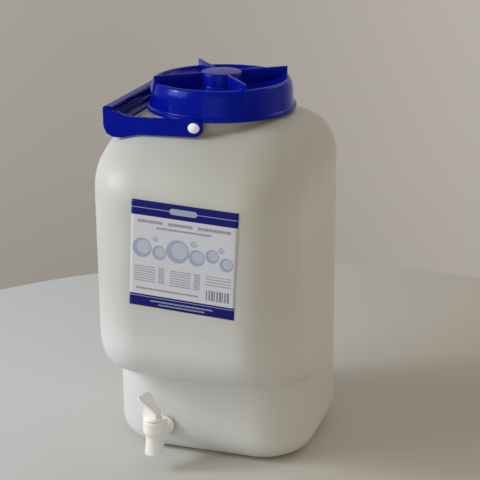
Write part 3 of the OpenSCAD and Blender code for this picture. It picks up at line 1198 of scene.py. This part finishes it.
@dataclass
class ScrewCap:
    """Screw cap with a dished top, a hub and four wings, in millimetres.

    Attributes:
        finishes: Finishes of the bottle.
        rim: Radius at the rim.
        height: Height from flange to rim.
        dish: Depth of the dished top.
        hub: Radius of the hub.
        rise: Height of hub and wings above the rim.
        wing: Thickness of a wing.
        turn: Turn of the wings in degrees.
    """

    finishes: Finishes
    rim: float = 83.6
    height: float = 34.4
    dish: float = 9.4
    hub: float = 25.0
    rise: float = 7.5
    wing: float = 3.4
    turn: float = 37.5
    flange: float = field(init=False)
    low: float = field(init=False)
    top: float = field(init=False)

    def __post_init__(self) -> None:
        """Takes the outer sizes from the CAD cap."""
        low, high = cad_box_mm("cap")
        self.flange = (high.x - low.x) / 2
        self.low = low.z
        self.top = self.low + self.height

    def shell(self) -> bmesh.types.BMesh:
        """Turns the cap's wall, top and hub in one piece.

        Returns:
            The turned shell.
        """
        z, r, low, hub = self.top, self.rim, self.low, self.hub
        liner = cad_box_mm("cap_liner")[1]
        inner, under = liner.x + 0.5, liner.z + 0.1
        over = z + self.rise
        dished = [
            (hub + 0.4, 1.0, 2.6), (34, 0.97, 0), (47, 0.93, 6), (58, 0.83, 6), (65, 0.71, 5),
            (70.5, 0.56, 4), (r - 9.6, 0.38, 3),
        ]
        corners = [(0, over + 0.2, 0), (hub - 1.0, over, 2.4)]
        corners += [(reach, z - self.dish * share, turn) for reach, share, turn in dished]
        corners += [
            (r - 8.6, z, 2.6), (r - 3.2, z, 3.6), (r, z - 8.5, 16.0), (r + 0.9, low + 5.6, 1.5),
            (r + 2.0, low + 4.2, 1.2), (self.flange, low + 4.0, 1.2), (self.flange, low, 0.8),
            (inner, low, 0.8), (inner, under, 0.5), (66, under, 0), (60, z - self.dish - 0.5, 0),
            (hub - 2.0, z - self.dish - 2.6, 1), (hub - 3.0, over - 2.6, 1), (0, over - 2.6, 0),
        ]
        profile = rounded([corner[:2] for corner in corners], [corner[2] for corner in corners])
        return spun(profile, 160)

    def wings(self) -> bmesh.types.BMesh:
        """Builds the four wings, each carried on down the skirt as a rib.

        Returns:
            The wings.
        """
        mesh = bmesh.new()
        z, r = self.top, self.rim
        half = self.wing / 2
        outline = [
            (self.hub - 2.5, z - self.dish - 1.0), (46.0, z - self.dish * 0.93 - 1.0),
            (66.0, z - self.dish * 0.66 - 1.4), (r - 6.0, z - 4.0), (r - 2.5, z - 6.0),
            (r - 2.5, self.low + 3.0), (r + 1.4, self.low + 3.0), (r + 1.0, z - 8.0),
            (r - 1.2, z), (r - 0.8, z + self.rise), (self.hub - 2.5, z + self.rise),
        ]
        for k in range(4):
            verts = [mesh.verts.new((x, -half, up)) for x, up in outline]
            face = mesh.faces.new(verts)
            made = bmesh.ops.extrude_face_region(mesh, geom=[face])["geom"]
            copies = [item for item in made if isinstance(item, bmesh.types.BMVert)]
            bmesh.ops.translate(mesh, vec=(0, self.wing, 0), verts=copies)
            bmesh.ops.rotate(
                mesh, verts=verts + copies, cent=(0, 0, 0),
                matrix=Matrix.Rotation(math.radians(self.turn + 90 * k), 3, "Z"),
            )
        bmesh.ops.recalc_face_normals(mesh, faces=mesh.faces)
        bmesh.ops.bevel(
            mesh, geom=mesh.edges[:], offset=1.1, segments=3, profile=0.5, affect="EDGES",
            material=-1, clamp_overlap=True,
        )
        return mesh

    def build(self) -> None:
        """Builds the cap and dresses its gasket."""
        place_mesh("cap_shell", self.shell(), self.finishes.blue, Body.CAP, ["cap"])
        place_mesh("cap_wings", self.wings(), self.finishes.blue, Body.CAP)
        softened_copy(
            "cap_gasket", "cap_liner", self.finishes.foam, Body.GASKET, 0.0005
        )


# ---------------------------------------------------------------- handle


@dataclass
class CarryHandle:
    """Carrying handle on its two pins.

    Attributes:
        finishes: Finishes of the bottle.
        edge: Rounding of the moulding's edges in metres.
    """

    finishes: Finishes
    edge: float = 0.0009

    def build(self) -> None:
        """Builds the handle and its pins."""
        softened_copy(
            "carry_handle", "handle", self.finishes.blue, Body.HANDLE, self.edge
        )
        for side in ("front", "rear"):
            softened_copy(
                f"pin_{side}", f"handle_pin_{side}", self.finishes.white, Body.BOTTLE,
                0.0004,
            )


# ---------------------------------------------------------------- tap


@dataclass
class OutletTap:
    """Quarter-turn tap with its key, washers and nut.

    Attributes:
        finishes: Finishes of the bottle.
        edge: Rounding of the mouldings' edges in metres.
    """

    finishes: Finishes
    edge: float = 0.0006

    def build(self) -> None:
        """Builds the tap's pieces."""
        white, rubber = self.finishes.white, self.finishes.rubber
        softened_copy("tap_barrel", "tap_body", white, Body.BOTTLE, self.edge)
        softened_copy("tap_lever", "tap_key", white, Body.KEY, self.edge)
        softened_copy("tap_lock_nut", "tap_nut", white, Body.BOTTLE, self.edge)
        softened_copy("snap_ring", "key_clip", white, Body.BOTTLE, 0.0002)
        silicone = self.finishes.silicone
        softened_copy("washer_outside", "outer_washer", silicone, Body.BOTTLE, 0.0004)
        softened_copy("washer_inside", "inner_washer", silicone, Body.BOTTLE, 0.0004)
        for name in ("plug_ring_upper", "plug_ring_lower"):
            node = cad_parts[name]
            node.data.materials.clear()
            node.data.materials.append(rubber)


# ---------------------------------------------------------------- studio


@dataclass(frozen=True)
class Lamp:
    """A square soft lamp, in metres and watts.

    Attributes:
        name: Its name.
        place: Where it stands.
        size: Its side.
        power: Its power.
        colour: Its colour.
    """

    name: str
    place: tuple[float, float, float]
    size: float
    power: float
    colour: Colour


@dataclass
class Studio:
    """Camera, lamps, floor and backdrop, in metres and degrees.

    Attributes:
        lamps: The lamps, which all shine at the middle of the bottle.
        middle: Height of that middle.
        table: Radius of the table top.
        wall_turn: How far the wall is turned from the front.
        wall_away: How far the wall stands behind the neck axis.
        wall_side: Half the side of the wall.
        room: Colour of the light of the room.
        room_light: Strength of that light.
        focal: Focal length in pixels of the square picture.
        yaw: How far the camera stands to the right of the front.
        pan: How far it looks aside of the neck axis.
        pitch: How far it looks down.
        roll: Its roll.
        distance: Its distance from the neck axis.
        height: Its height.
    """

    lamps: tuple[Lamp, ...] = (
        Lamp("window", (-1.7, -1.0, 1.25), 1.3, 25.0, (0.95, 0.985, 1.0)),
        Lamp("window_pane", (-1.8, -0.85, 1.3), 0.30, 12.0, (0.95, 0.985, 1.0)),
        Lamp("front_fill", (0.2, -2.5, 0.65), 1.5, 6.5, (1.0, 0.90, 0.77)),
        Lamp("room_bounce", (1.7, 0.3, 0.7), 1.4, 2.5, (1.0, 0.88, 0.74)),
        Lamp("rim_light", (0.95, 1.1, 1.5), 0.7, 3.5, (1.0, 0.97, 0.93)),
    )
    middle: float = 0.25
    table: float = 0.78
    wall_turn: float = 18.0
    wall_away: float = 1.3
    wall_side: float = 4.0
    room: Colour = (1.0, 0.945, 0.84)
    room_light: float = 0.41
    focal: float = 1376.1
    yaw: float = 18.59
    pan: float = -0.73
    pitch: float = 18.47
    roll: float = -0.37
    distance: float = 1.58824
    height: float = 0.78249

    def camera(self) -> None:
        """Puts the camera in place."""
        yaw, pitch = math.radians(self.yaw), math.radians(self.pitch)
        look = math.radians(self.yaw + self.pan)
        forward = Vector(
            (-math.sin(look) * math.cos(pitch), math.cos(look) * math.cos(pitch), -math.sin(pitch))
        )
        right = Vector((math.cos(look), math.sin(look), 0.0))
        up = right.cross(forward)
        roll = math.radians(self.roll)
        turned_right = right * math.cos(roll) + up * math.sin(roll)
        turned_up = up * math.cos(roll) - right * math.sin(roll)
        data = bpy.data.cameras.new("camera")
        data.sensor_width = 36.0
        data.lens = self.focal * 36.0 / IMAGE_SIDE
        camera = bpy.data.objects.new("camera", data)
        place = Vector(
            (math.sin(yaw) * self.distance, -math.cos(yaw) * self.distance, self.height)
        )
        camera.matrix_world = Matrix.Translation(place) @ Matrix(
            (turned_right, turned_up, -forward)
        ).transposed().to_4x4()
        bpy.context.scene.collection.objects.link(camera)
        bpy.context.scene.camera = camera

    def light(self, lamp: Lamp) -> None:
        """Adds a lamp that shines at the middle of the bottle.

        Args:
            lamp: The lamp.
        """
        data = bpy.data.lights.new(lamp.name, "AREA")
        data.shape = "SQUARE"
        data.size = lamp.size
        data.energy = lamp.power
        data.color = lamp.colour
        light = bpy.data.objects.new(lamp.name, data)
        place = Vector(lamp.place)
        light.location = place
        light.rotation_mode = "QUATERNION"
        aim = Vector((0.0, 0.0, self.middle)) - place
        light.rotation_quaternion = aim.to_track_quat("-Z", "Y")
        bpy.context.scene.collection.objects.link(light)

    def stage(self) -> None:
        """Adds the round table top and the wall behind it."""
        # Painted light and shade: the table is lighter and cooler on the window side and darker
        # and yellower towards the right.
        table_finish = StageFinish(
            "pale_table", (0.55, 0.575, 0.59), (0.49, 0.46, 0.415), 0, (-0.35, 0.35)
        ).build()
        # Painted light and shade: the wall is darker on the left and lighter towards the right.
        wall_finish = StageFinish(
            "grey_wall", (0.46, 0.435, 0.41), (0.74, 0.71, 0.69), 0, (-0.75, 0.45),
            one_sided=True,
        ).build()
        mesh = bmesh.new()
        bmesh.ops.create_circle(mesh, cap_ends=True, segments=256, radius=self.table)
        bmesh.ops.translate(mesh, verts=mesh.verts, vec=(0.1, -0.12, 0.0))
        table = link_mesh("table_top", mesh, table_finish)
        mesh = bmesh.new()
        bmesh.ops.create_grid(mesh, x_segments=1, y_segments=1, size=self.wall_side)
        turn = Matrix.Rotation(math.radians(self.wall_turn), 3, "Z")
        bmesh.ops.rotate(
            mesh, verts=mesh.verts, cent=(0, 0, 0),
            matrix=turn @ Matrix.Rotation(math.pi / 2, 3, "X"),
        )
        bmesh.ops.translate(
            mesh, verts=mesh.verts, vec=turn @ Vector((0.0, self.wall_away, 0.0))
        )
        wall = link_mesh("back_wall", mesh, wall_finish)

    def build(self) -> None:
        """Sets the whole studio up."""
        self.camera()
        self.stage()
        for lamp in self.lamps:
            self.light(lamp)
        world = bpy.data.worlds.new("room")
        world.use_nodes = True
        background = world.node_tree.nodes["Background"]
        background.inputs["Color"].default_value = (*self.room, 1.0)
        background.inputs["Strength"].default_value = self.room_light
        bpy.context.scene.world = world
        bpy.context.scene.view_settings.view_transform = "Standard"


def main() -> None:
    """Builds the bottle's looks piece by piece."""
    logging.basicConfig(level=logging.INFO, format="%(name)s: %(message)s")
    finishes = Finishes()
    body = BottleBody(finishes)
    body.build()
    FrontLabel(finishes, body).build()
    ScrewCap(finishes).build()
    CarryHandle(finishes).build()
    OutletTap(finishes).build()
    Studio().build()


if __name__ == "__main__":
    main()
